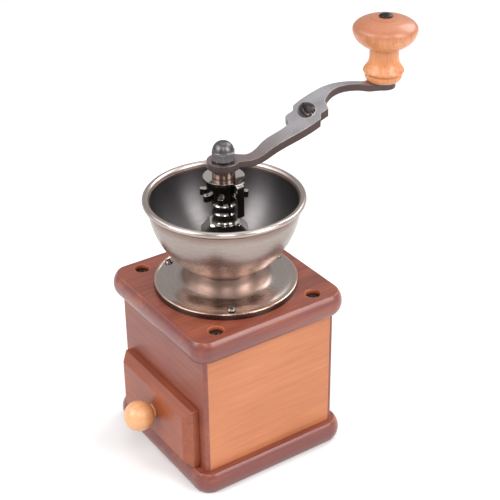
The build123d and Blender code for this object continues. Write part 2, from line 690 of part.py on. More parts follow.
thrust_bore = SPINDLE_RADIUS + AXIAL_PLAY
save(make_washer(THRUST_BOTTOM, THRUST_WASHER_RADIUS, WASHER_THICKNESS, thrust_bore), "thrust_washer")
save(make_washer(NUT_WASHER_BOTTOM, BURR_WASHER_RADIUS, WASHER_THICKNESS, SPINDLE_RADIUS), "burr_washer")
save(make_washer(HUB_TOP, LOCK_WASHER_RADIUS, LOCK_WASHER_THICKNESS, SPINDLE_RADIUS), "lock_washer")

spring_length = HUB_UNDERSIDE - SPRING_BOTTOM - 2 * SPRING_WIRE
with BuildPart() as compression_spring:
    with BuildLine(Plane.XY.offset(SPRING_BOTTOM + SPRING_WIRE)) as coil:
        Helix(pitch=spring_length / SPRING_TURNS, height=spring_length, radius=SPRING_RADIUS)
    with BuildSketch(Plane(origin=coil.line @ 0, z_dir=coil.line % 0)):
        Circle(SPRING_WIRE)
    sweep()
save(compression_spring.part, "compression_spring")

with BuildPart() as burr_nut:
    with BuildSketch(Plane.XY.offset(NUT_WASHER_BOTTOM - BURR_NUT_HEIGHT)):
        RegularPolygon(radius=NUT_FLATS / 2, side_count=6, major_radius=False)
        Circle(SPINDLE_RADIUS, mode=Mode.SUBTRACT)
    extrude(amount=BURR_NUT_HEIGHT)
    chamfer(burr_nut.edges().filter_by(Axis.Z), length=0.3)
save(burr_nut.part, "burr_nut")

hex_shoulder = NUT_BOTTOM + NUT_HEX_HEIGHT - 1.0
dome_foot = NUT_BOTTOM + NUT_HEX_HEIGHT - 0.2
nut_top = NUT_BOTTOM + NUT_HEIGHT
hex_corner = 1.02 * NUT_FLATS / 2 / cos(radians(30))

with BuildPart() as cap_nut:
    with BuildSketch(Plane.XY.offset(NUT_BOTTOM)):
        RegularPolygon(radius=NUT_FLATS / 2, side_count=6, major_radius=False, rotation=-34)
    extrude(amount=NUT_HEIGHT)
    with BuildSketch(Plane.XZ):
        with BuildLine():
            Polyline(
                (0, nut_top),
                (0, NUT_BOTTOM),
                (0.9 * hex_corner, NUT_BOTTOM),
                (hex_corner, NUT_BOTTOM + 0.5),
                (hex_corner, hex_shoulder),
                (NUT_DOME_RADIUS, dome_foot),
            )
            ThreePointArc(
                (NUT_DOME_RADIUS, dome_foot),
                (0.77 * NUT_DOME_RADIUS, dome_foot + 0.66 * (nut_top - dome_foot)),
                (0, nut_top),
            )
        make_face()
    revolve(axis=SPINDLE_AXIS, mode=Mode.INTERSECT)
    with Locations(Location((0, 0, NUT_BOTTOM), (180, 0, 0))):
        Hole(radius=SPINDLE_RADIUS, depth=SPINDLE_TOP - NUT_BOTTOM + 0.5)
save(cap_nut.part, "cap_nut")


# ---------------------------------------------------------------- spindle group above the bridge
with BuildPart() as flatted_rod:
    with BuildSketch(Plane.XY.offset(CLIP_BOTTOM)):
        Circle(SPINDLE_RADIUS)
        Rectangle(
            2 * SPINDLE_FLAT,
            2 * SPINDLE_RADIUS,
            rotation=CRANK_ANGLE,
            mode=Mode.INTERSECT,
        )
    extrude(amount=HUB_TOP - CLIP_BOTTOM)

with BuildPart() as spindle:
    add(flatted_rod.part)
    with BuildSketch(Plane.XY.offset(SPINDLE_BOTTOM)):
        Circle(SPINDLE_RADIUS)
    extrude(amount=CLIP_BOTTOM - SPINDLE_BOTTOM)
    with BuildSketch(Plane.XY.offset(HUB_TOP)):
        Circle(SPINDLE_RADIUS)
    extrude(amount=SPINDLE_TOP - HUB_TOP)
    ends = spindle.faces().filter_by(Axis.Z).sort_by(Axis.Z)
    chamfer(ends[0].edges() + ends[-1].edges(), length=0.6)
save(spindle.part, "spindle")


with BuildPart() as adjusting_nut:
    with BuildSketch(Plane.XY.offset(STAR_BOTTOM)):
        Circle(STAR_BODY_RADIUS)
    extrude(amount=STAR_HEIGHT)
    top_rim = adjusting_nut.edges().sort_by(Axis.Z)[-1]
    chamfer(top_rim, length=0.8)
    with BuildSketch(Plane.XY.offset(STAR_BOTTOM)):
        with PolarLocations(0, STAR_TEETH, start_angle=STAR_FIRST_ANGLE):
            with Locations((STAR_RADIUS / 2, 0)):
                Rectangle(STAR_RADIUS, STAR_TOOTH_WIDTH)
    teeth = extrude(amount=STAR_TOOTH_HEIGHT)
    tips = adjusting_nut.edges().filter_by(Axis.Z)
    fillet(tips.filter_by(lambda e: Vector(e.center().X, e.center().Y, 0).length > 12.5), radius=1.2)
    with Locations((0, 0, CLIP_BOTTOM)):
        Hole(radius=SPINDLE_RADIUS)
save(adjusting_nut.part, "adjusting_nut")

leg_bottom = COLLAR_BOTTOM - CLIP_LEG_LENGTH
leg_plane = Plane(
    origin=(0, 0, 0),
    x_dir=polar(1, CLIP_LEG_ANGLE),
    z_dir=polar(1, CLIP_LEG_ANGLE - 90),
)

with BuildPart() as locating_clip:
    with BuildSketch(Plane.XY.offset(CLIP_BOTTOM)):
        Circle(CLIP_RADIUS)
    extrude(amount=CLIP_THICKNESS)
    with BuildSketch(leg_plane):
        with BuildLine():
            FilletPolyline(
                (SPINDLE_RADIUS, COLLAR_BOTTOM),
                (CLIP_LEG_RADIUS, COLLAR_BOTTOM),
                (CLIP_LEG_RADIUS, leg_bottom),
                radius=2.0,
            )
            offset(amount=CLIP_THICKNESS, side=Side.RIGHT, closed=True)
        make_face()
    extrude(amount=CLIP_LEG_WIDTH / 2, both=True)
    add(flatted_rod.part, mode=Mode.SUBTRACT)
    foot_edges = locating_clip.edges().group_by(Axis.Z)[0]
    fillet(foot_edges.filter_by(lambda e: e.length < CLIP_THICKNESS + 0.1), radius=0.8)
save(locating_clip.part, "locating_clip")

with BuildPart() as arm_collar:
    with BuildSketch(Plane.XY.offset(COLLAR_BOTTOM)):
        Circle(COLLAR_RADIUS)
        Circle(SPINDLE_RADIUS, mode=Mode.SUBTRACT)
    extrude(amount=COLLAR_HEIGHT)
    outer_rims = arm_collar.edges().filter_by(GeomType.CIRCLE).sort_by(SortBy.RADIUS)[-2:]
    chamfer(outer_rims, length=0.4)
save(arm_collar.part, "arm_collar")


# ---------------------------------------------------------------- crank arm
along = Vector(*polar(1, CRANK_ANGLE))
aside = Vector(*polar(1, CRANK_ANGLE + 90))
upward = Vector(0, 0, 1)
arm_side_plane = Plane(origin=(0, 0, HUB_TOP), x_dir=along, z_dir=-aside)
arm_plan_plane = Plane(origin=(0, 0, HUB_BOTTOM - ARM_THICKNESS), x_dir=along, z_dir=upward)

slope_run = Vector(ARM_CREST[0] - ARM_DIP[0], ARM_CREST[1] - ARM_DIP[1])
slope_angle = degrees(atan2(slope_run.Y, slope_run.X))
slope_normal = upward * cos(radians(slope_angle)) - along * sin(radians(slope_angle))
bean_height = ARM_DIP[1] + (BEAN_OUT - ARM_DIP[0]) * tan(radians(slope_angle))
bean_centre = along * BEAN_OUT + aside * BEAN_ASIDE + upward * (HUB_TOP + bean_height)
bean_plane = Plane(origin=bean_centre, x_dir=aside, z_dir=slope_normal)

# The bean is the top of a long egg, sunk until its outline matches the bean's length and width.
egg_reach = (BEAN_WIDTH / 2) ** 2 / BEAN_HEIGHT
egg_radius = (egg_reach + BEAN_HEIGHT) / 2
egg_sink = egg_radius - BEAN_HEIGHT
egg_length = BEAN_LENGTH / (1 - (egg_sink / egg_radius) ** 2) ** 0.5

with BuildPart() as bean:
    with BuildSketch(bean_plane.offset(-egg_sink)):
        Ellipse(egg_length / 2, egg_radius)
        with Locations((0, -egg_radius)):
            Rectangle(egg_length, 2 * egg_radius, mode=Mode.SUBTRACT)
    revolve(axis=Axis((bean_plane.offset(-egg_sink)).origin, aside))
    split(bisect_by=bean_plane.offset(-1.0), keep=Keep.TOP)
    with BuildSketch(bean_plane.offset(0.45 * BEAN_HEIGHT)):
        with BuildLine():
            groove_line = Spline(
                (-0.5 * BEAN_LENGTH, -0.3),
                (-0.22 * BEAN_LENGTH, 1.1),
                (0, 0),
                (0.22 * BEAN_LENGTH, -1.1),
                (0.5 * BEAN_LENGTH, 0.3),
            )
        trace(groove_line, line_width=BEAN_GROOVE)
    extrude(amount=BEAN_HEIGHT, mode=Mode.SUBTRACT)

wing_left = [(WING_CENTRE + x, y) for x, y in WING_STEPS]
wing_right = [(WING_CENTRE - x, -y) for x, y in reversed(WING_STEPS)]

with BuildPart() as crank_arm:
    with BuildSketch(arm_side_plane):
        with BuildLine():
            arm_line = FilletPolyline(
                (0, 0),
                (8.0, 0),
                ARM_DIP,
                ARM_CREST,
                (ARM_LEVEL, CRANK_RISE),
                (CRANK_RADIUS + BOSS_RADIUS, CRANK_RISE),
                radius=[16, 14, 28, 12],
            )
            offset(amount=ARM_THICKNESS, side=Side.RIGHT, closed=True)
        make_face()
    extrude(amount=20, both=True)
    with BuildSketch(arm_plan_plane) as arm_outline:
        with BuildLine():
            Spline(*LEFT_EDGE_NEAR_HUB, wing_left[0])
            Polyline(*wing_left)
            Spline(wing_left[-1], *LEFT_EDGE_NEAR_KNOB)
            Line(LEFT_EDGE_NEAR_KNOB[-1], RIGHT_EDGE_NEAR_KNOB[0])
            Spline(*RIGHT_EDGE_NEAR_KNOB, wing_right[-1])
            Polyline(*wing_right)
            Spline(wing_right[0], *RIGHT_EDGE_NEAR_HUB)
            Line(RIGHT_EDGE_NEAR_HUB[-1], LEFT_EDGE_NEAR_HUB[0])
        make_face()
        with Locations((CRANK_RADIUS, 0)):
            Circle(BOSS_RADIUS)
    extrude(amount=60, mode=Mode.INTERSECT)
    with BuildSketch(Plane.XY.offset(HUB_BOTTOM)):
        Circle(HUB_RADIUS)
    extrude(amount=ARM_THICKNESS)
    add(bean.part)
    add(flatted_rod.part, mode=Mode.SUBTRACT)
    with Locations((KNOB_X, KNOB_Y, KNOB_SEAT)):
        Hole(radius=PIN_RADIUS + HOLE_PLAY, depth=2 * ARM_THICKNESS)
save(crank_arm.part, "crank_arm")


# ---------------------------------------------------------------- crank knob and its pin
knob_plane = Plane(
    origin=(KNOB_X, KNOB_Y, KNOB_SEAT + AXIAL_PLAY),
    x_dir=(1, 0, 0),
    z_dir=(0, -1, 0),
)
knob_axis = Axis(knob_plane.origin, (0, 0, 1))
cap_under_angle = -degrees(acos(KNOB_NECK_RADIUS / KNOB_CAP_RADIUS))
cap_top_angle = degrees(acos((PIN_HEAD_RADIUS + 0.5) / KNOB_CAP_RADIUS))
cap_under = ellipse_points(KNOB_CAP_RADIUS, KNOB_CAP_DROP, cap_under_angle, 0, KNOB_CAP_CENTRE)
cap_over = ellipse_points(KNOB_CAP_RADIUS, KNOB_CAP_RISE, 0, cap_top_angle, KNOB_CAP_CENTRE)
knob_bore = PIN_RADIUS + RUNNING_PLAY
knob_top = cap_over[-1][1]
foot_end = (KNOB_FOOT_RADIUS, KNOB_GROOVE_HEIGHT - KNOB_GROOVE_SIZE)
groove_floor = (KNOB_FOOT_RADIUS - KNOB_GROOVE_SIZE, KNOB_GROOVE_HEIGHT)

with BuildPart() as crank_knob:
    with BuildSketch(knob_plane):
        with BuildLine():
            Polyline(cap_over[-1], (knob_bore, knob_top), (knob_bore, 0), (KNOB_BASE_RADIUS, 0))
            Spline(
                (KNOB_BASE_RADIUS, 0),
                (KNOB_FOOT_RADIUS - 0.1, 0.4 * KNOB_GROOVE_HEIGHT),
                foot_end,
            )
            Line(foot_end, groove_floor)
            Spline(
                groove_floor,
                (KNOB_BEAD_RADIUS, KNOB_GROOVE_HEIGHT + 1.3),
                (KNOB_BEAD_RADIUS - 1.7, KNOB_GROOVE_HEIGHT + 4.4),
                (KNOB_NECK_RADIUS + 0.2, KNOB_GROOVE_HEIGHT + 7.8),
                (KNOB_NECK_RADIUS, KNOB_GROOVE_HEIGHT + 11.0),
                cap_under[0],
            )
            Spline(*cap_under, tangents=[(1, 0.3), (0, 1)])
            Spline(*cap_over, tangents=[(0, 1), (-1, 0.1)])
        make_face()
    revolve(axis=knob_axis)
save(crank_knob.part, "crank_knob")

head_seat = knob_top + AXIAL_PLAY
head_rim = head_seat + 0.5
head_dome = PIN_HEAD_HEIGHT - 0.5
head_dome_radius = (PIN_HEAD_RADIUS**2 + head_dome**2) / (2 * head_dome)
rivet_top = -AXIAL_PLAY - ARM_THICKNESS
rivet_bottom = rivet_top - RIVET_HEIGHT
rivet_radius = PIN_RADIUS + 1.0
rivet_dome_radius = (rivet_radius**2 + RIVET_HEIGHT**2) / (2 * RIVET_HEIGHT)

with BuildPart() as knob_pin:
    with BuildSketch(knob_plane):
        with BuildLine():
            RadiusArc((0, rivet_bottom), (rivet_radius, rivet_top), -rivet_dome_radius)
            Polyline(
                (rivet_radius, rivet_top),
                (PIN_RADIUS, rivet_top),
                (PIN_RADIUS, head_seat),
                (PIN_HEAD_RADIUS, head_seat),
                (PIN_HEAD_RADIUS, head_rim),
            )
            RadiusArc((PIN_HEAD_RADIUS, head_rim), (0, head_seat + PIN_HEAD_HEIGHT), -head_dome_radius)
            Line((0, head_seat + PIN_HEAD_HEIGHT), (0, rivet_bottom))
        make_face()
    revolve(axis=knob_axis)
save(knob_pin.part, "knob_pin")
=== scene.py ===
import math

import bpy
from mathutils import Matrix, Vector


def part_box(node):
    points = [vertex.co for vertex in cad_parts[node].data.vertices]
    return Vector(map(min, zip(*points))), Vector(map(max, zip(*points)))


# Looks, light and camera for the hand-cranked coffee grinder. Metres, in the frame of the packed
# model: origin under the base board, +Z up the spindle, -Y towards the drawer. Every visible piece
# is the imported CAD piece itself, with a material painted by its place in that frame.

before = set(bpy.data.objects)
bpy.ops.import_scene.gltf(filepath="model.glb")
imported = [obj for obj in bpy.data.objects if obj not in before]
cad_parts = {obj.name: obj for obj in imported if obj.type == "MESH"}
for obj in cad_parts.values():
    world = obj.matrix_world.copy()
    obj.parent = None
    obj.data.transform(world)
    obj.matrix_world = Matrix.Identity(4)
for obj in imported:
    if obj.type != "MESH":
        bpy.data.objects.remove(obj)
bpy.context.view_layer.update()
scene = bpy.context.scene
MM = 0.001

# ---------------------------------------------------------------- colours, linear red green blue
# A wood goes from its dark through its middle to its light tone.
MAHOGANY = ((0.100, 0.023, 0.017), (0.205, 0.046, 0.025), (0.320, 0.088, 0.037))
# Edge colours: partly real wear, partly a painted highlight along the edges.
MAHOGANY_EDGE = (0.52, 0.22, 0.15)
DRAWER_MAHOGANY = ((0.130, 0.026, 0.013), (0.240, 0.052, 0.020), (0.350, 0.096, 0.032))
# painted shade on the boards' bulging edges
BOARD_EDGE_SHADE = (0.135, 0.030, 0.028)
RAW_ORANGE = (0.46, 0.125, 0.045)
# painted shade deep in the screw recesses
RECESS_SHADE = (0.08, 0.022, 0.012)
ORANGE = ((0.34, 0.105, 0.038), (0.455, 0.158, 0.062), (0.54, 0.205, 0.088))
ORANGE_EDGE = (0.60, 0.27, 0.13)
BEECH = ((0.52, 0.21, 0.082), (0.68, 0.33, 0.145), (0.80, 0.43, 0.21))
KNOB_BEECH = ((0.32, 0.092, 0.034), (0.53, 0.195, 0.068), (0.66, 0.285, 0.108))
KNOB_TOP_STAIN = (0.29, 0.095, 0.048)
RAW = ((0.42, 0.27, 0.14), (0.56, 0.39, 0.22), (0.66, 0.49, 0.30))

# The bowl is tinted by height: 0 at its foot, 1 by its rim. Outside, the lighter copper-brown low
# down is partly the metal's own tint and partly a painted reflection of the wooden box below, and
# the dark band just under the lip is painted shade.
BOWL_OUTSIDE = (
    (0.0, (0.70, 0.49, 0.40)),
    (0.25, (0.60, 0.44, 0.37)),
    (0.50, (0.34, 0.28, 0.25)),
    (0.93, (0.34, 0.29, 0.265)),
    (1.0, (0.22, 0.15, 0.12)),
)
# Inside, the darker grey is painted shade inside the bowl.
BOWL_INSIDE = (
    (0.0, (0.17, 0.16, 0.16)),
    (0.5, (0.15, 0.142, 0.145)),
    (1.0, (0.125, 0.115, 0.12)),
)
# the lip: painted shade on its underside, a painted highlight along its crest
LIP_UNDERSIDE_SHADE = (0.25, 0.155, 0.125)
LIP_CREST_HIGHLIGHT = (0.50, 0.43, 0.40)
# painted shade in the crease where the bowl meets the neck
BOWL_FOOT_SHADE = (0.04, 0.025, 0.02)
BOWL_SCRATCH = (0.12, 0.09, 0.08)

FLANGE_DISH = (0.49, 0.42, 0.385)
FLANGE_NECK = (0.25, 0.165, 0.135)
# painted highlight on the rolled rim, painted shade on its outer side
FLANGE_RIM_HIGHLIGHT = (0.66, 0.46, 0.38)
FLANGE_SIDE_SHADE = (0.10, 0.07, 0.055)
FLANGE_SCRATCH = (0.14, 0.10, 0.085)

# painted highlight on the level faces of the black nickel
LEVEL_FACE_HIGHLIGHT = (0.62, 0.58, 0.53)
ARM_BY_THE_HUB = (0.28, 0.21, 0.195)
# painted shade for the arm's sides
ARM_SIDE_SHADE = (0.060, 0.034, 0.029)
DARK_BEAN = (0.075, 0.06, 0.06)

PAPER_DARK = (0.735, 0.735, 0.74)
PAPER_LIGHT = (0.775, 0.775, 0.775)


# ---------------------------------------------------------------- material building
FLAT_FACE = 0.995            # cosine between a face and its rounded normal where no edge is near
SHARP_EDGE = 0.9             # the same cosine on an edge that takes the full edge colour: worn, and painted as catching the light


class Shade:
    """A material under construction, with short calls for the nodes it needs."""

    def __init__(self, name, **settings):
        self.material = bpy.data.materials.new(name)
        self.material.use_nodes = True
        self.tree = self.material.node_tree
        self.shader = self.tree.nodes["Principled BSDF"]
        self.position = self.add("ShaderNodeTexCoord").outputs["Object"]
        for label, value in settings.items():
            self.set(label.replace("_", " "), value)

    def feed(self, socket, value):
        """Give a socket a number, a colour or the output of another node."""
        if isinstance(value, bpy.types.NodeSocket):
            self.tree.links.new(value, socket)
        else:
            socket.default_value = value

    def set(self, label, value):
        """Give one of the shader's own sockets a value."""
        for socket in self.shader.inputs:
            if socket.name.lower() == label.lower():
                self.feed(socket, value)
                return
        raise KeyError(label)

    def coat(self, weight, roughness):
        """Clear lacquer over the colour."""
        self.set("Coat Weight", weight)
        self.set("Coat Roughness", roughness)

    def add(self, kind, inputs=None, **settings):
        """A new node, its inputs given by number or by label."""
        node = self.tree.nodes.new(kind)
        for label, value in settings.items():
            setattr(node, label, value)
        for label, value in (inputs or {}).items():
            self.feed(node.inputs[label], value)
        return node

    def math(self, operation, first, second=0.5):
        return self.add("ShaderNodeMath", {0: first, 1: second}, operation=operation).outputs[0]

    def multiply(self, first, second):
        return self.math("MULTIPLY", first, second)

    def plus(self, first, second):
        return self.math("ADD", first, second)

    def parts(self, vector):
        """The three components of a vector."""
        return self.add("ShaderNodeSeparateXYZ", {0: vector}).outputs

    def squares(self, first, second):
        """The sum of two squares."""
        return self.plus(self.multiply(first, first), self.multiply(second, second))

    def stretched(self, scale, offset=(0, 0, 0)):
        """The position, scaled by axis and shifted."""
        inputs = {"Vector": self.position, "Scale": scale, "Location": offset}
        return self.add("ShaderNodeMapping", inputs).outputs[0]

    def noise(self, vector, scale, detail=3.0, roughness=0.55, distortion=0.0):
        inputs = {
            "Vector": vector,
            "Scale": scale,
            "Detail": detail,
            "Roughness": roughness,
            "Distortion": distortion,
        }
        return self.add("ShaderNodeTexNoise", inputs).outputs["Fac"]

    def ramp(self, factor, stops):
        """Colour ramp from (position, colour) pairs."""
        node = self.add("ShaderNodeValToRGB", {"Fac": factor})
        elements = node.color_ramp.elements
        while len(elements) < len(stops):
            elements.new(1.0)
        for element, (place, colour) in zip(elements, stops):
            element.position = place
            element.color = (*colour, 1.0)
        return node.outputs["Color"]

    def fade(self, value, low, high, to_low=0.0, to_high=1.0):
        """Value remapped smoothly from one span to another."""
        inputs = {
            "Value": value,
            "From Min": low,
            "From Max": high,
            "To Min": to_low,
            "To Max": to_high,
        }
        return self.add("ShaderNodeMapRange", inputs, interpolation_type="SMOOTHSTEP").outputs[0]

    def mix(self, factor, first, second):
        """Colour that goes from the first to the second as the factor goes from 0 to 1."""
        node = self.add("ShaderNodeMix", data_type="RGBA")
        for index, value in ((0, factor), (6, first), (7, second)):
            if isinstance(value, tuple):
                value = (*value, 1.0)
            self.feed(node.inputs[index], value)
        return node.outputs[2]

    def bump(self, height, strength, distance, normal):
        inputs = {"Height": height, "Strength": strength, "Distance": distance, "Normal": normal}
        return self.add("ShaderNodeBump", inputs).outputs["Normal"]

    def soft_edges(self, radius):
        """Surface normal with every sharp edge rounded off by a small radius."""
        return self.add("ShaderNodeBevel", {"Radius": radius}, samples=4).outputs["Normal"]

    def worn_and_glinting_edges(self, radius):
        """1 on sharp outer and inner edges, 0 on the open faces: where the worn edges and the painted
        edge highlight go.
        """
        rounded = self.soft_edges(radius)
        flat = self.add("ShaderNodeNewGeometry").outputs["Normal"]
        cosine = self.add("ShaderNodeVectorMath", {0: rounded, 1: flat}, operation="DOT_PRODUCT")
        return self.fade(cosine.outputs["Value"], FLAT_FACE, SHARP_EDGE)

    def facing_up(self):
        """1 on faces that look up or down, 0 on upright ones."""
        normal = self.add("ShaderNodeNewGeometry").outputs["Normal"]
        return self.fade(self.math("ABSOLUTE", self.parts(normal)["Z"]), 0.25, 0.6)

    def around(self):
        """Height, radius and angle about the spindle, in metres and radians."""
        x, y, z = self.parts(self.position)
        return z, self.math("SQRT", self.squares(x, y)), self.math("ARCTAN2", y, x)


def dress(material, *node_names):
    """Put a material on CAD nodes."""
    for name in node_names:
        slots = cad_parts[name].data.materials
        slots.clear()
        slots.append(material)


# ---------------------------------------------------------------- wood
# Sizes of the patterns in wood, as noise scales, and how far they are drawn out along the grain.
CLOUD_SCALE = 16.0
STREAK_SCALE = 150.0
FIGURE_SCALE = 480.0
FLECK_SCALE = 1000.0
FIBRE_SCALE = 1100.0
PORE_SCALE = 2200.0
STREAK_STRETCH = 0.06
FIBRE_STRETCH = 0.045
FLECK_STRETCH = 0.12

SCREW_X = 39.2 * MM          # places of the corner screws' recesses
SCREW_Y = 32.2 * MM
RECESS_RADIUS = 4.4 * MM


def along(grain, stretch):
    """Scale that draws a pattern out along the grain."""
    scale = [1.0, 1.0, 1.0]
    scale["XYZ".index(grain)] = stretch
    return scale


def make_wood(
    name,
    grain,
    colours,
    gloss,
    wear_and_glint,
    edge=0.6,
    round_edge=0.6,
    fleck=0.0,
    streak_amount=0.2,
    spread=0.18,
):
    """Straight-grained wood. The grain runs along one axis, a larger spread makes it fainter, and
    round_edge is the radius of the lighter edges in millimetres, partly worn and partly a painted
    highlight."""
    shade = Shade(name)
    dark, middle, light = colours
    drawn_out = shade.stretched(along(grain, STREAK_STRETCH))
    streaks = shade.noise(drawn_out, STREAK_SCALE, detail=4.0, roughness=0.6)
    fibre_place = shade.stretched(along(grain, FIBRE_STRETCH))
    fibres = shade.noise(fibre_place, FIBRE_SCALE, detail=4.0, roughness=0.7)
    figure = shade.noise(drawn_out, FIGURE_SCALE, detail=3.0, distortion=0.35)
    cloud = shade.noise(shade.position, CLOUD_SCALE, detail=2.0)
    coarse = shade.plus(shade.multiply(streaks, streak_amount), shade.multiply(fibres, 0.25))
    broad = shade.plus(shade.multiply(figure, 0.25), shade.multiply(cloud, 0.5 - streak_amount))
    tones = [(0.5 - spread, dark), (0.5, middle), (0.5 + spread, light)]
    colour = shade.ramp(shade.plus(coarse, broad), tones)
    pores = shade.noise(shade.position, PORE_SCALE, detail=2.0)
    colour = shade.mix(shade.fade(pores, 0.35, 0.75, 0.0, 0.16), colour, dark)
    if fleck:
        dashes = shade.stretched(along(grain, FLECK_STRETCH), (0.3, 0.1, 0.2))
        spots = shade.noise(dashes, FLECK_SCALE, detail=1.0)
        colour = shade.mix(shade.fade(spots, 0.6, 0.7, 0.0, fleck), colour, dark)
    # lighter edges: partly real wear, partly a painted highlight along each edge
    glinting_worn_edges = shade.worn_and_glinting_edges(round_edge * MM)
    shade.colour = shade.mix(shade.multiply(glinting_worn_edges, edge), colour, wear_and_glint)
    shade.set("Base Color", shade.colour)
    shade.set("Roughness", shade.fade(fibres, 0.3, 0.75, gloss - 0.05, gloss + 0.12))
    shade.set("Normal", shade.bump(fibres, 0.2, 0.06 * MM, shade.soft_edges(round_edge * MM)))
    return shade


def shade_board_edges(shade):
    """Painted shade, purple-brown, on the bulging edges of the base and top boards, thinner in bands.
    """
    x, y, _ = shade.parts(shade.position)
    out = shade.math("MAXIMUM", shade.math("ABSOLUTE", x), shade.math("ABSOLUTE", y))
    drift = shade.multiply(shade.noise(shade.position, 30.0), 3 * MM)
    edge = shade.fade(shade.plus(out, drift), 47.0 * MM, 50.0 * MM, 0.0, 0.75)
    bands = shade.stretched((1.0, 0.1, 1.0), (0.1, 0.3, 0.2))
    bands = shade.noise(bands, 130.0, detail=2.0, distortion=0.4)
    edge = shade.multiply(edge, shade.fade(bands, 0.5, 0.64, 1.0, 0.1))
    # painted shade over the bulging edges
    shade.colour = shade.mix(edge, shade.colour, BOARD_EDGE_SHADE)


def show_raw_recesses(shade):
    """Bare orange wood on the walls of the corner screws' recesses, with painted shade deeper
    down towards the screw.
    """
    x, y, z = shade.parts(shade.position)
    off_x = shade.math("SUBTRACT", shade.math("ABSOLUTE", x), SCREW_X)
    off_y = shade.math("SUBTRACT", shade.math("ABSOLUTE", y), SCREW_Y)
    off = shade.math("SQRT", shade.squares(off_x, off_y))
    inside = shade.fade(off, RECESS_RADIUS + 0.12 * MM, RECESS_RADIUS + 0.06 * MM)
    _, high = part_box("top_board")
    near_top = shade.fade(z, high.z - 3 * MM, high.z - 0.8 * MM)
    # darker deeper in the recess: painted shade
    wall = shade.mix(near_top, RECESS_SHADE, RAW_ORANGE)
    shade.set("Base Color", shade.mix(inside, shade.colour, wall))


def make_boards():
    wood = make_wood(
        "mahogany_boards",
        "Y",
        MAHOGANY,
        gloss=0.34,
        wear_and_glint=MAHOGANY_EDGE,
        edge=0.7,
        round_edge=0.9,
        streak_amount=0.3,
        spread=0.15,
    )
    wood.coat(0.3, 0.2)
    shade_board_edges(wood)
    show_raw_recesses(wood)
    dress(wood.material, "base_board", "top_board")


def make_fronts():
    wood = make_wood("mahogany_fronts", "X", MAHOGANY, 0.42, MAHOGANY_EDGE, edge=0.5, round_edge=0.5)
    wood.coat(0.16, 0.3)
    dress(wood.material, "front_board", "back_board")


def make_drawer_front():
    wood = make_wood(
        "mahogany_drawer", "X", DRAWER_MAHOGANY, 0.4, MAHOGANY_EDGE, edge=0.5, round_edge=0.5
    )
    wood.coat(0.12, 0.3)
    dress(wood.material, "drawer_front")


def make_side_panels():
    wood = make_wood("orange_panels", "Y", ORANGE, 0.5, ORANGE_EDGE, spread=0.17)
    wood.coat(0.12, 0.4)
    dress(wood.material, "side_panel_left", "side_panel_right")


def make_drawer_knob():
    wood = make_wood("ball_beech", "Y", BEECH, 0.36, BEECH[2], fleck=0.45, spread=0.25)
    wood.coat(0.35, 0.2)
    dress(wood.material, "drawer_knob")


def make_crank_knob():
    """Turned wood with dark flecks, stained browner on the upper half of its cap."""
    wood = make_wood("knob_beech", "Z", KNOB_BEECH, 0.36, KNOB_BEECH[2], fleck=0.65, spread=0.15)
    wood.coat(0.3, 0.2)
    _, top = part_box("crank_knob")
    height = wood.parts(wood.position)["Z"]
    stain = wood.fade(height, top.z - 11 * MM, top.z - 4 * MM, 0.0, 0.75)
    wood.set("Base Color", wood.mix(stain, wood.colour, KNOB_TOP_STAIN))
    dress(wood.material, "crank_knob")


def make_drawer_box():
    sides = make_wood("drawer_raw_wood", "Y", RAW, 0.6, RAW[2])
    dress(sides.material, "drawer_side_left", "drawer_side_right", "drawer_bottom")
    back = make_wood("drawer_back_raw_wood", "X", RAW, 0.6, RAW[2])
    dress(back.material, "drawer_back")


make_boards()
make_fronts()
make_drawer_front()
make_side_panels()
make_drawer_knob()
make_crank_knob()
make_drawer_box()


# ---------------------------------------------------------------- brushed sheet metal
LATHE_LINES = 2600.0         # noise scale of the lines left by spinning
LINE_SWEEP = 0.0012          # how fast a line changes round the spindle
SHEET_EDGE = 0.3 * MM

# The middle of the bowl's wall is part of an ellipse, its centre a height above the bowl's foot.
WALL_RADIUS = 41.8 * MM
WALL_DEPTH = 44.8 * MM
WALL_CENTRE = 39.2 * MM


def brushed_round(name, line_depth):
    """Bare metal brushed round the spindle. Returns it with the pattern of its lathe lines."""
    shade = Shade(name, metallic=1.0, anisotropic=0.6, anisotropic_rotation=0.25)
    tangent = shade.add("ShaderNodeTangent", direction_type="RADIAL", axis="Z")
    shade.set("Tangent", tangent.outputs[0])
    height, radius, angle = shade.around()
    inputs = {0: shade.multiply(angle, LINE_SWEEP), 1: radius, 2: height}
    turned = shade.add("ShaderNodeCombineXYZ", inputs).outputs[0]
    lines = shade.noise(turned, LATHE_LINES, detail=4.0, roughness=0.75)
    shade.set("Normal", shade.bump(lines, line_depth, 0.02 * MM, shade.soft_edges(SHEET_EDGE)))
    return shade, lines


def inside_of_bowl(shade, height, radius, foot):
    """1 on the bowl's inner wall, 0 outside: which side of the wall's middle ellipse it is."""
    across = shade.math("DIVIDE", radius, WALL_RADIUS)
    down = shade.math("DIVIDE", shade.math("SUBTRACT", height, foot + WALL_CENTRE), WALL_DEPTH)
    return shade.fade(shade.squares(across, down), 1.002, 0.998)


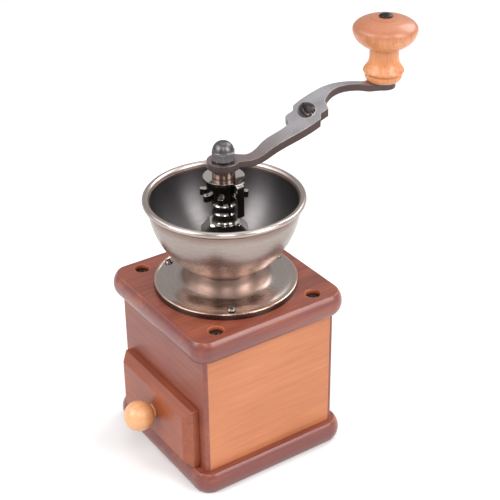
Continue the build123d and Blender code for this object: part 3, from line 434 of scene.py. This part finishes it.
def make_bowl():
    """Spun steel: lighter copper-brown low down, partly its own tint and partly a painted reflection
    of the wooden box below; darker grey inside as painted shade; a lip with a painted highlight on
    its crest and painted shade underneath.
    """
    shade, lines = brushed_round("bowl_metal", 0.10)
    height, radius, _ = shade.around()
    low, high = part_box("hopper_bowl")
    cloud = shade.noise(shade.position, 25.0, detail=3.0)
    waver = shade.multiply(shade.math("SUBTRACT", cloud, 0.5), 8 * MM)
    level = shade.plus(height, waver)
    # outside: painted reflection of the wood below low down, painted shade just under the lip
    outer = shade.ramp(shade.fade(level, low.z, high.z - 3 * MM), BOWL_OUTSIDE)
    # inside: painted shade
    inner = shade.ramp(shade.fade(level, low.z, high.z), BOWL_INSIDE)
    inside = inside_of_bowl(shade, height, radius, low.z)
    colour = shade.mix(inside, outer, inner)
    # painted shade under the lip, painted highlight on its crest
    on_lip = shade.fade(height, high.z - 3.9 * MM, high.z - 3.5 * MM)
    up_lip = shade.fade(height, high.z - 2.9 * MM, high.z - 1.6 * MM)
    colour = shade.mix(on_lip, colour, shade.mix(up_lip, LIP_UNDERSIDE_SHADE, LIP_CREST_HIGHLIGHT))
    # painted shade in the crease at the bowl's foot
    foot_shade = shade.fade(height, low.z + 1.3 * MM, low.z + 0.7 * MM, 0.0, 0.92)
    colour = shade.mix(foot_shade, colour, BOWL_FOOT_SHADE)
    scratches = shade.fade(lines, 0.35, 0.7, 0.0, 0.22)
    scratches = shade.multiply(scratches, shade.fade(inside, 0.0, 1.0, 1.0, 0.35))
    shade.set("Base Color", shade.mix(scratches, colour, BOWL_SCRATCH))
    rough = shade.fade(lines, 0.3, 0.7, 0.22, 0.34)
    shade.set("Roughness", shade.plus(rough, shade.multiply(inside, 0.1)))
    dress(shade.material, "hopper_bowl")


def make_flange():
    """Polished dish with a copper-brown brushed neck, a copper painted highlight on the rim's bead
    and painted shade on the rim's outer side.
    """
    shade, lines = brushed_round("flange_metal", 0.08)
    height, radius, _ = shade.around()
    low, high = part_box("mounting_flange")
    rim = 0.5 * (high.x - low.x)
    neck = shade.fade(height, low.z + 4.2 * MM, low.z + 6.0 * MM)
    colour = shade.mix(neck, FLANGE_DISH, FLANGE_NECK)
    # painted highlight on the rim's bead, then painted shade on its outer side
    edge = shade.fade(radius, rim - 1.7 * MM, rim - 1.3 * MM)
    colour = shade.mix(edge, colour, FLANGE_RIM_HIGHLIGHT)
    side = shade.fade(radius, rim - 0.5 * MM, rim - 0.1 * MM)
    colour = shade.mix(side, colour, FLANGE_SIDE_SHADE)
    scratches = shade.fade(lines, 0.4, 0.7, 0.0, 0.3)
    shade.set("Base Color", shade.mix(scratches, colour, FLANGE_SCRATCH))
    rough = shade.fade(lines, 0.3, 0.7, 0.16, 0.3)
    shade.set("Roughness", shade.plus(rough, shade.multiply(neck, 0.2)))
    dress(shade.material, "mounting_flange")


# ---------------------------------------------------------------- plated metal
# The raised bean on the sloping part of the arm: its middle, its reach and the slope's normal.
BEAN_CENTRE = (7.3 * MM, 49.9 * MM, 197.3 * MM)
BEAN_REACH = 9.5 * MM
SLOPE_NORMAL = (-0.094, -0.535, 0.840)


def plated(name, colour, wear_and_glint, roughness, uneven=0.06, edge_share=0.8, grit=900.0, radius=0.35):
    """Plated cast or turned metal: speckled by its grit, a little uneven, with lighter edges of the
    given radius in millimetres, partly worn through and partly a painted highlight."""
    shade = Shade(name, metallic=1.0)
    grain = shade.noise(shade.position, grit, detail=4.0, roughness=0.65)
    cloud = shade.noise(shade.position, 70.0, detail=3.0)
    darker = tuple(0.7 * c for c in colour)
    speckle = shade.multiply(shade.plus(grain, cloud), 0.5)
    tint = shade.ramp(speckle, [(0.38, darker), (0.58, colour)])
    # lighter edges: partly real wear, partly a painted highlight along each edge
    glinting_worn_edges = shade.worn_and_glinting_edges(radius * MM)
    glinting_worn_edges = shade.multiply(glinting_worn_edges, shade.fade(cloud, 0.25, 0.6, 0.4, edge_share))
    shade.colour = shade.mix(glinting_worn_edges, tint, wear_and_glint)
    shade.set("Base Color", shade.colour)
    shade.set("Roughness", shade.fade(grain, 0.3, 0.7, roughness - 0.03, roughness + 0.07))
    shade.set("Normal", shade.bump(grain, uneven, 0.05 * MM, shade.soft_edges(radius * MM)))
    return shade


def make_mechanism():
    """Black nickel, with a painted highlight on level faces."""
    nickel = plated(
        "polished_nickel",
        (0.16, 0.15, 0.14),
        (0.70, 0.65, 0.60),
        0.07,
        uneven=0.015,
        edge_share=0.5,
    )
    # painted highlight on the faces that look up or down
    nickel.set("Base Color", nickel.mix(nickel.facing_up(), nickel.colour, LEVEL_FACE_HIGHLIGHT))
    dress(nickel.material, "bearing_bridge", "bearing_bush", "adjusting_nut", "locating_clip")


def on_the_bean(shade):
    """1 on the raised bean, 0 on the rest of the arm."""
    inputs = {0: shade.position, 1: BEAN_CENTRE}
    away = shade.add("ShaderNodeVectorMath", inputs, operation="SUBTRACT").outputs[0]
    length = shade.add("ShaderNodeVectorMath", {0: away}, operation="LENGTH").outputs["Value"]
    lift = shade.add("ShaderNodeVectorMath", {0: away, 1: SLOPE_NORMAL}, operation="DOT_PRODUCT")
    raised = shade.fade(lift.outputs["Value"], 0.1 * MM, 0.4 * MM)
    near = shade.fade(length, BEAN_REACH, BEAN_REACH - 0.5 * MM)
    return shade.multiply(raised, near)


def make_arm():
    """Grey plating, copper-brown by the hub, with painted light on the arm's broad top and painted
    shade, dark copper-brown, on its sides, and a dark coffee bean emblem."""
    shade = plated(
        "arm_plating",
        (0.61, 0.59, 0.62),
        (0.80, 0.62, 0.54),
        0.36,
        uneven=0.16,
        edge_share=0.95,
        grit=1500.0,
        radius=0.6,
    )
    _, radius, _ = shade.around()
    near_hub = shade.fade(radius, 50 * MM, 12 * MM, 0.0, 0.85)
    # painted light on the top faces, painted shade on the sides
    lit_top_colour = shade.mix(near_hub, shade.colour, ARM_BY_THE_HUB)
    shaded_side_colour = shade.mix(0.93, shade.colour, ARM_SIDE_SHADE)
    colour = shade.mix(shade.facing_up(), shaded_side_colour, lit_top_colour)
    bean = on_the_bean(shade)
    shade.set("Base Color", shade.mix(bean, colour, DARK_BEAN))
    shade.set("Roughness", shade.fade(bean, 0.0, 1.0, 0.38, 0.2))
    dress(shade.material, "crank_arm")


def make_small_metal():
    """The collar, the cap nut, the screws and the hidden steel and iron inside."""
    copper = plated("dark_copper", (0.14, 0.10, 0.09), (0.45, 0.30, 0.24), 0.2)
    dress(copper.material, "arm_collar")
    gunmetal = plated("gunmetal", (0.145, 0.135, 0.14), (0.36, 0.32, 0.31), 0.33)
    dress(gunmetal.material, "cap_nut")
    dark_steel = plated("dark_steel", (0.035, 0.035, 0.036), (0.22, 0.20, 0.19), 0.22)
    dress(dark_steel.material, "knob_pin", "lock_washer")
    screw_steel = plated("screw_steel", (0.19, 0.165, 0.15), (0.62, 0.55, 0.50), 0.2)
    dress(screw_steel.material, "flange_screws", "bridge_screws", "drawer_knob_screw")
    black_steel = plated("black_screws", (0.035, 0.037, 0.042), (0.25, 0.25, 0.26), 0.3, uneven=0.1)
    black_steel.set("Metallic", 0.6)
    dress(black_steel.material, "top_screws", "base_screws")
    turned_steel = plated("turned_steel", (0.42, 0.42, 0.43), (0.7, 0.7, 0.7), 0.25)
    washers = ("thrust_washer", "burr_washer")
    dress(turned_steel.material, "spindle", "compression_spring", "burr_nut", *washers)
    burr_iron = plated("burr_iron", (0.20, 0.20, 0.205), (0.55, 0.55, 0.55), 0.35, uneven=0.2)
    dress(burr_iron.material, "ring_burr", "cone_burr")


make_bowl()
make_flange()
make_mechanism()
make_arm()
make_small_metal()


# ---------------------------------------------------------------- floor, light and camera
FLOOR_REACH = 6.0
WORLD_STRENGTH = 0.55
LIGHT_TARGET = Vector((0, 0, 0.11))

CAMERA_SIDE = -33.89         # where the camera stands round the spindle, from +X
CAMERA_ELEVATION = 30.13
CAMERA_ROLL = -0.62
CAMERA_DISTANCE = 0.69805
CAMERA_ASIDE = 0.0138        # how far the camera stands to the right of the spindle
CAMERA_TARGET_HEIGHT = 0.1221
CAMERA_LENS = 89.67

# Name, degrees round from the camera, elevation, distance, width, height and watts.
SOFTBOXES = (
    ("softbox_left", -62, 38, 1.3, 0.7, 1.0, 11.5),
    ("softbox_front", 4, 46, 1.2, 0.32, 0.8, 4.0),
    ("softbox_right", 58, 34, 1.3, 0.6, 1.0, 12.4),
    ("softbox_left_back", -100, 36, 1.4, 0.7, 0.7, 3.0),
    ("softbox_back", 125, 38, 1.4, 0.9, 0.8, 10.0),
    ("softbox_top", 170, 72, 1.4, 1.2, 1.0, 4.0),
)


def make_floor():
    mesh = bpy.data.meshes.new("floor")
    corners = [(x * FLOOR_REACH, y * FLOOR_REACH, 0) for x, y in ((-1, -1), (1, -1), (1, 1), (-1, 1))]
    mesh.from_pydata(corners, [], [(0, 1, 2, 3)])
    floor = bpy.data.objects.new("floor", mesh)
    scene.collection.objects.link(floor)
    shade = Shade("studio_paper")
    paper = shade.noise(shade.position, 3.0, detail=3.0)
    shade.set("Base Color", shade.ramp(paper, [(0.3, PAPER_DARK), (0.7, PAPER_LIGHT)]))
    shade.set("Roughness", shade.fade(paper, 0.3, 0.7, 0.7, 0.85))
    mesh.materials.append(shade.material)


def outward(azimuth, elevation):
    """Unit vector away from the grinder, its angles in degrees."""
    turn = math.radians(azimuth)
    rise = math.radians(elevation)
    flat = math.cos(rise)
    return Vector((math.cos(turn) * flat, math.sin(turn) * flat, math.sin(rise)))


def make_softbox(name, azimuth, elevation, distance, width, height, power):
    """Large area light aimed at the middle of the grinder."""
    out = outward(azimuth, elevation)
    lamp = bpy.data.lights.new(name, "AREA")
    lamp.shape = "RECTANGLE"
    lamp.size = width
    lamp.size_y = height
    lamp.energy = power
    holder = bpy.data.objects.new(name, lamp)
    holder.location = LIGHT_TARGET + out * distance
    holder.rotation_euler = out.to_track_quat("Z", "Y").to_euler()
    scene.collection.objects.link(holder)


def make_world():
    world = bpy.data.worlds.new("studio")
    scene.world = world
    world.use_nodes = True
    backdrop = world.node_tree.nodes["Background"]
    backdrop.inputs["Color"].default_value = (1.0, 1.0, 1.0, 1.0)
    backdrop.inputs["Strength"].default_value = WORLD_STRENGTH


def make_camera():
    """Camera that looks down at the grinder, a little to one side and rolled a little."""
    back = outward(CAMERA_SIDE, CAMERA_ELEVATION)
    level = Vector((0, 0, 1)).cross(back).normalized()
    upright = back.cross(level)
    roll = math.radians(CAMERA_ROLL)
    right = level * math.cos(roll) + upright * math.sin(roll)
    up = upright * math.cos(roll) - level * math.sin(roll)
    data = bpy.data.cameras.new("camera")
    data.lens = CAMERA_LENS
    data.sensor_width = 36.0
    data.clip_start = 0.01
    camera = bpy.data.objects.new("camera", data)
    place = level * CAMERA_ASIDE + Vector((0, 0, CAMERA_TARGET_HEIGHT)) + back * CAMERA_DISTANCE
    camera.matrix_world = Matrix.Translation(place) @ Matrix((right, up, back)).transposed().to_4x4()
    scene.collection.objects.link(camera)
    scene.camera = camera


make_floor()
make_world()
for name, round_from_camera, *settings in SOFTBOXES:
    make_softbox(name, CAMERA_SIDE + round_from_camera, *settings)
make_camera()
scene.view_settings.view_transform = "Standard"
